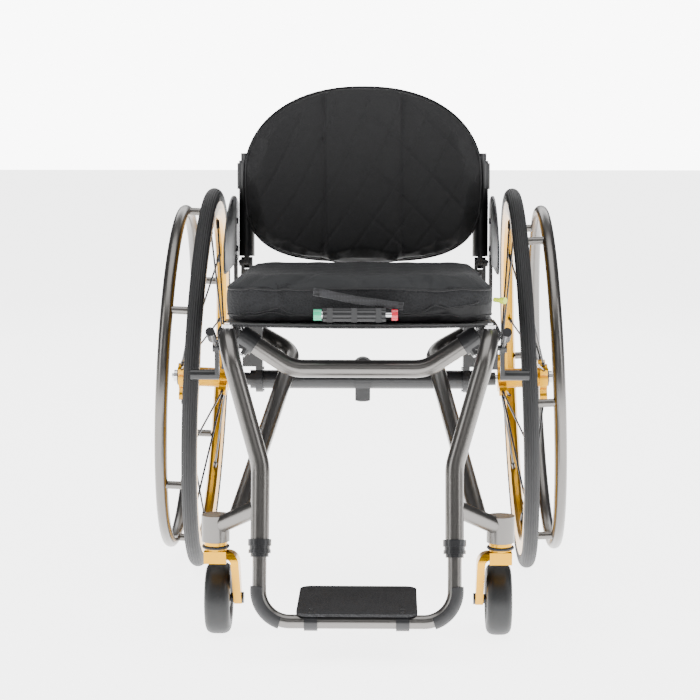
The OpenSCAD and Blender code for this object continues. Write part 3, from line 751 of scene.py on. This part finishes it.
def make_tyre(side, word):
    grooves = (-0.78, -0.47, -0.16, 0.16, 0.47, 0.78)
    steps = []
    for g in grooves:
        steps += [(g - 0.055, 0.0), (g - 0.03, 0.00055), (g + 0.03, 0.00055), (g + 0.055, 0.0)]
    steps += [(a, 0.0) for a in (-1.0, 1.0)]
    steps += [(1.0 + k * (2 * math.pi - 2.0) / 22, 0.0) for k in range(1, 22)]
    steps.sort()
    ring = WHEEL_R - TYRE_R
    profile = [(ring + (TYRE_R - cut) * math.cos(a), (TYRE_R - cut) * math.sin(a)) for a, cut in steps]
    m = wheel_matrix(side)
    bm = lathe(profile, m.translation, m.to_3x3() @ Vector((1, 0, 0)), 200)
    o = from_bmesh("drive_tyre_" + word, bm, M["tyre"], "drive_wheel_" + word)
    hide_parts("tyre_" + word)
    bm = bmesh.new()
    lathe([(ring - 0.0076, 0.0093), (ring - 0.0066, 0.0101),
           (ring - 0.0056, 0.0098), (ring - 0.0062, 0.0088)],
          m.translation, m.to_3x3() @ Vector((1, 0, 0)), 160, bm=bm)
    lathe([(ring - 0.0076, -0.0093), (ring - 0.0066, -0.0101),
           (ring - 0.0056, -0.0098), (ring - 0.0062, -0.0088)],
          m.translation, m.to_3x3() @ Vector((1, 0, 0)), 160, bm=bm)
    from_bmesh("tyre_beads_" + word, bm, M["rubber"], "drive_wheel_" + word)


# ---- casters ----

def make_caster(side, word):
    lo, hi = box_size("caster_tyre_" + word)
    c = (lo + hi) / 2
    r = (hi.z - lo.z) / 2
    half = (hi.x - lo.x) / 2
    profile = []
    for k in range(25):
        a = math.pi * k / 24
        x = half * math.copysign(abs(math.cos(a)) ** 0.62, math.cos(a))
        rr = r - 0.0148 + 0.0148 * abs(math.sin(a)) ** 0.72
        profile.append((rr, x))
    profile += [(0.0310, -half + 0.0012), (0.0290, -half + 0.0030),
                (0.0272, -half + 0.0034), (0.0272, half - 0.0034),
                (0.0290, half - 0.0030), (0.0310, half - 0.0012)]
    bm = lathe(profile, c, (1, 0, 0), 120)
    o = from_bmesh("caster_tread_" + word, bm, M["caster"], "caster_wheel_" + word)
    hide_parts("caster_tyre_" + word)
    bm = bmesh.new()
    for k in range(5):
        a = 2 * math.pi * k / 5
        p = c + Vector((side * 0.0138, 0.0222 * math.cos(a), 0.0222 * math.sin(a)))
        socket_screw(bm, p, (side, 0, 0), 0.0022, 0.0012)
    lathe([(0.0075, 0.0156), (0.0125, 0.0156), (0.0122, 0.0165), (0.0080, 0.0165)],
          c, (side, 0, 0), 48, bm=bm)
    from_bmesh("caster_cap_" + word, bm, M["steel"], "caster_wheel_" + word)


# ---- small hardware ----

def make_hardware():
    bm = bmesh.new()
    lo, hi = box_size("cross_tube_clamps")
    mid_y = (lo.y + hi.y) / 2
    rail_z = hi.z - 0.0130
    fin_r = 0.0168
    for s in (-1, 1):
        for k in range(4):
            y = mid_y - 0.0125 + k * 0.0062
            arc = [math.radians(195 + 15 * t) for t in range(11)]
            fin = [Vector((s * RAIL_X + fin_r * math.cos(a), y, rail_z + fin_r * math.sin(a))) for a in arc]
            tube(bm, fin, 0.0009, 8)
    from_bmesh("clamp_fins", bm, M["black_metal"], "frame")

    bm = bmesh.new()
    plate_lo, plate_hi = box_size("footplate")
    for x in (-0.062, 0.062):
        for dy in (0.005, 0.024):
            socket_screw(bm, (x, plate_lo.y + dy, plate_hi.z - 0.0002), (0, 0, 1), 0.0034, 0.0014)
    from_bmesh("footplate_screws", bm, M["black_metal"], "footrest")

    bm = bmesh.new()
    for s in (-1, 1):
        for z in (0.507, 0.552):
            p = Vector((s * 0.2085, AXLE_Y + 0.062 + (z - 0.484) * math.tan(LEAN), z))
            socket_screw(bm, p, (s, 0, 0), 0.0042, 0.002)
        p = Vector((s * 0.2022, HINGE.y, HINGE.z))
        socket_screw(bm, p, (s, 0, 0), 0.0045, 0.0018)
    from_bmesh("guard_screws", bm, M["steel"], "frame")


def make_side(side, word):
    make_tyre(side, word)
    make_caster(side, word)
    m = wheel_matrix(side)
    out = m.to_3x3() @ Vector((1, 0, 0))
    bm = bmesh.new()
    lathe([(0.0078, 0.0452), (0.0150, 0.0452), (0.0152, 0.0475), (0.0140, 0.0484), (0.0078, 0.0484)],
          m.translation, out, 48, bm=bm)
    from_bmesh("hub_cap_" + word, bm, M["black_metal"], "drive_wheel_" + word)


M["caster"] = plastic("caster_tread", (0.004, 0.0045, 0.005), 0.5, 900, 0.00004)
for s, word in ((1, "left"), (-1, "right")):
    make_side(s, word)
make_hardware()

for name, width in (("footplate", 0.0008), ("side_guard_left", 0.0006), ("side_guard_right", 0.0006),
                    ("axle_clamps", 0.0012), ("lock_mounts", 0.0012), ("back_hinges", 0.0008),
                    ("cross_tube_clamps", 0.001), ("hub_left", 0.0009), ("hub_right", 0.0009),
                    ("caster_fork_left", 0.0014), ("caster_fork_right", 0.0014), ("leg_collars", 0.0007),
                    ("valve_body", 0.0005), ("valve_knob_green", 0.0008), ("valve_knob_red", 0.0008),
                    ("lock_lever_left", 0.0008), ("lock_lever_right", 0.0008), ("back_brackets", 0.001),
                    ("axle_tube_bracket", 0.001), ("back_shell", 0.0008), ("rim_left", 0.0006),
                    ("rim_right", 0.0006), ("back_canes", 0.001), ("footrest_bumpers", 0.0006)):
    soften(NODES[name], width)


# ---- floor, light and camera ----

def make_stage():
    bm = bmesh.new()
    for x, y in ((-15, -15), (15, -15), (15, 15), (-15, 15)):
        bm.verts.new((x, y, 0))
    bm.faces.new(bm.verts)
    me = bpy.data.meshes.new("floor")
    bm.to_mesh(me)
    bm.free()
    floor = bpy.data.objects.new("floor", me)
    bpy.context.scene.collection.objects.link(floor)
    pale = Mat("floor_pale", (0.86, 0.86, 0.87), 0.8, Emission_Color=(1, 1, 1, 1), Emission_Strength=4.2)
    pale.color(pale.noise(2, 3), [(0.3, (0.85, 0.85, 0.86)), (0.7, (0.88, 0.88, 0.885))])
    me.materials.append(pale.m)


def area_light(name, where, target, size, power, color=(1, 1, 1)):
    data = bpy.data.lights.new(name, "AREA")
    data.shape = "RECTANGLE"
    data.size, data.size_y = size
    data.energy = power
    data.color = color
    o = bpy.data.objects.new(name, data)
    o.location = where
    o.rotation_euler = (Vector(target) - Vector(where)).to_track_quat("-Z", "Y").to_euler()
    bpy.context.scene.collection.objects.link(o)


make_stage()
area_light("top_box", (0, -0.3, 3.2), (0, 0, 0.4), (3.0, 3.0), 80)
area_light("left_box", (-2.6, -1.6, 1.7), (0, 0, 0.4), (0.9, 2.4), 36)
area_light("right_box", (2.6, -1.4, 1.7), (0, 0, 0.4), (0.9, 2.4), 36)
area_light("front_box", (0.3, -3.6, 2.2), (0, 0, 0.4), (2.2, 0.8), 9)
area_light("back_box", (0, 3.2, 2.0), (0, 0, 0.5), (3.0, 1.2), 36)

world = bpy.data.worlds.new("studio")
bpy.context.scene.world = world
world.use_nodes = True
wt = world.node_tree
bg = wt.nodes["Background"]
bg.inputs["Color"].default_value = (0.4, 0.405, 0.41, 1)
bg.inputs["Strength"].default_value = 0.45
seen = wt.nodes.new("ShaderNodeBackground")
seen.inputs["Color"].default_value = (1, 1, 1, 1)
seen.inputs["Strength"].default_value = 9.0
path = wt.nodes.new("ShaderNodeLightPath")
mix = wt.nodes.new("ShaderNodeMixShader")
wt.links.new(path.outputs["Is Camera Ray"], mix.inputs["Fac"])
wt.links.new(bg.outputs["Background"], mix.inputs[1])
wt.links.new(seen.outputs["Background"], mix.inputs[2])
wt.links.new(mix.outputs["Shader"], wt.nodes["World Output"].inputs["Surface"])

cam_data = bpy.data.cameras.new("camera")
cam_data.lens = 105
cam_data.sensor_width = 36
cam_data.clip_end = 60
cam = bpy.data.objects.new("camera", cam_data)
bpy.context.scene.collection.objects.link(cam)
cam.location = Vector((0.0446, AXLE_Y - 3.2579, 0.7773))
target = Vector((-0.0206, AXLE_Y, 0.3487))
cam.rotation_euler = (target - cam.location).to_track_quat("-Z", "Y").to_euler()
bpy.context.scene.camera = cam
